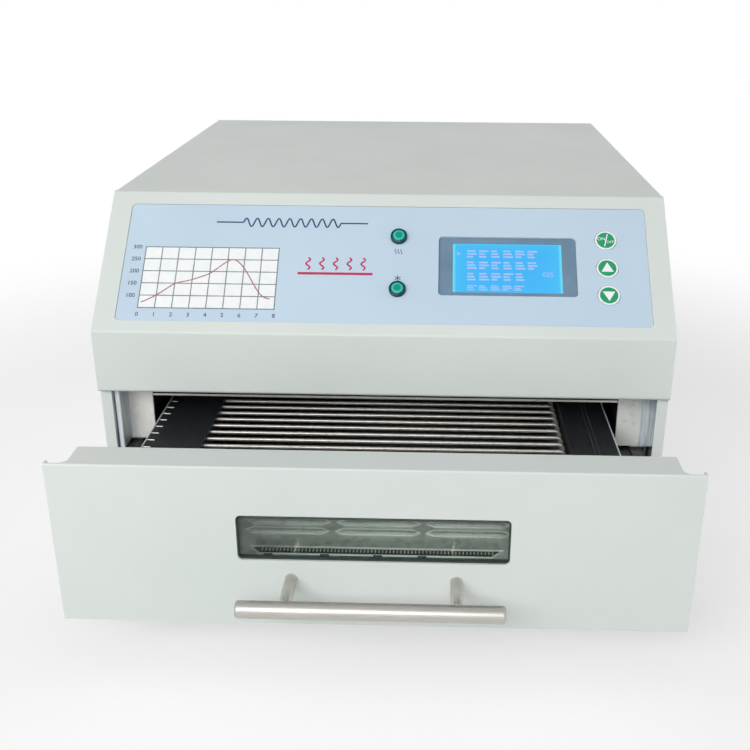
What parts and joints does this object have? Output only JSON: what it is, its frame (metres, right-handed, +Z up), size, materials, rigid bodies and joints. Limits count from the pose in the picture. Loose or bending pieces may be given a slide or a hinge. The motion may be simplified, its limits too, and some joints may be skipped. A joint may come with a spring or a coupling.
{
  "type": "reflow oven",
  "caption": "Benchtop reflow oven: low white sheet-metal case, sloping control panel with display, lamps and keys, and a windowed slide-out drawer with a wire rack and bar handle",
  "frame": {"origin": "on the bench, under the middle of the whole outline with the drawer about a third open", "axes": "+X to the right of someone facing the drawer, +Y from the drawer to the back, +Z up"},
  "size_m": [0.3736, 0.562, 0.256],
  "materials": {
    "white_paint": "satin off-white powder coat",
    "black_paint": "satin black heat-proof coat",
    "zinc_steel": "zinc-coated sheet with a faint brushed grain",
    "bright_steel": "cold-rolled slide steel, bright zinc",
    "stainless": "stainless bar brushed along its length",
    "bright_wire": "bright drawn wire",
    "screw_zinc": "bright zinc-plated screws and guard wire",
    "panel_film": "pale blue printed polyester overlay, slightly textured",
    "display_grey": "slate grey display frame",
    "display_lit": "lit blue display glass",
    "lamp_green": "dark teal-green moulded lens",
    "key_green": "green key cap with a white ring",
    "window_clear": "clear heat-proof glass",
    "quartz": "clear quartz tube",
    "black_rubber": "matt black rubber",
    "white_ceramic": "unglazed steatite",
    "mineral_wool": "white ceramic fibre blanket",
    "aluminium": "plain aluminium",
    "board_green": "green solder mask over fibreglass",
    "black_plastic": "black moulded plastic",
    "laminations": "varnished transformer core",
    "brass": "plain brass",
    "filament": "dark resistance wire, shown as its winding's envelope"
  },
  "bodies": {
    "case": {"outer_cover": "white_paint", "base_pan": "zinc_steel", "rubber_feet": "black_rubber", "case_screws": "screw_zinc", "rear_panel": "white_paint", "rear_screws": "screw_zinc", "front_console": "white_paint", "control_overlay": "panel_film", "display_frame": "display_grey", "display_glass": "display_lit", "heat_lamp": "lamp_green", "cool_lamp": "lamp_green", "key_board": "board_green", "key_switches": "black_plastic", "control_board": "board_green", "board_standoffs": "brass", "power_board": "board_green", "transformer": "laminations", "heatsink": "aluminium", "side_frame_left": "zinc_steel", "side_frame_right": "zinc_steel", "heat_shield": "zinc_steel", "chamber_walls": "zinc_steel", "chamber_rear_wall": "zinc_steel", "reflector": "aluminium", "insulation_blanket": "mineral_wool", "quartz_tubes": "quartz", "heating_filaments": "filament", "tube_caps": "white_ceramic", "thermocouples": "bright_wire", "fan_duct": "zinc_steel", "fan_frame": "black_plastic", "fan_guard": "screw_zinc", "power_inlet": "black_plastic", "inlet_pins": "brass", "rocker_housing": "black_plastic", "fuse_holder": "black_plastic", "mains_harness": "black_rubber", "slide_brackets": "zinc_steel", "slide_outer_members": "bright_steel"},
    "drawer": {"drawer_front": "white_paint", "window_seal": "black_rubber", "window_glass": "window_clear", "window_retainer": "zinc_steel", "inner_shield": "zinc_steel", "drawer_sides": "black_paint", "drawer_floor": "zinc_steel", "pcb_tray": "black_paint", "rack_rods": "bright_wire", "handle_bar": "stainless", "handle_posts": "stainless", "handle_screws": "screw_zinc", "slide_inner_members": "bright_steel"},
    "slide_middle_left": {"slide_middle_left": "bright_steel"},
    "slide_middle_right": {"slide_middle_right": "bright_steel"},
    "power_key": {"power_key": "key_green"},
    "up_key": {"up_key": "key_green"},
    "down_key": {"down_key": "key_green"},
    "rocker": {"rocker": "black_plastic"},
    "fan_rotor": {"fan_impeller": "black_plastic"}
  },
  "joints": [
    {"name": "drawer_slide", "type": "slide", "parent": "case", "child": "drawer", "axis": [0, -1, 0], "range_m": [-0.1, 0.2]},
    {"name": "slide_middle_left_travel", "type": "slide", "parent": "case", "child": "slide_middle_left", "axis": [0, -1, 0], "range_m": [-0.05, 0.1]},
    {"name": "slide_middle_right_travel", "type": "slide", "parent": "case", "child": "slide_middle_right", "axis": [0, -1, 0], "range_m": [-0.05, 0.1]},
    {"name": "power_key_press", "type": "slide", "parent": "case", "child": "power_key", "axis": [0, 0.6909, -0.723], "range_m": [0, 0.0006], "stiffness_N_per_m": 1500},
    {"name": "up_key_press", "type": "slide", "parent": "case", "child": "up_key", "axis": [0, 0.6909, -0.723], "range_m": [0, 0.0006], "stiffness_N_per_m": 1500},
    {"name": "down_key_press", "type": "slide", "parent": "case", "child": "down_key", "axis": [0, 0.6909, -0.723], "range_m": [0, 0.0006], "stiffness_N_per_m": 1500},
    {"name": "rocker_tip", "type": "hinge", "parent": "case", "child": "rocker", "pos_m": [-0.12, 0.2717, 0.102], "axis": [-1, 0, 0], "range_deg": [0, 18]},
    {"name": "fan_spin", "type": "hinge", "parent": "case", "child": "fan_rotor", "pos_m": [0, 0.262, 0.15], "axis": [0, 1, 0], "continuous": true}
  ],
  "couplings": [
    {"joint": "slide_middle_left_travel", "follows": "drawer_slide", "ratio": 0.5},
    {"joint": "slide_middle_right_travel", "follows": "drawer_slide", "ratio": 0.5}
  ]
}
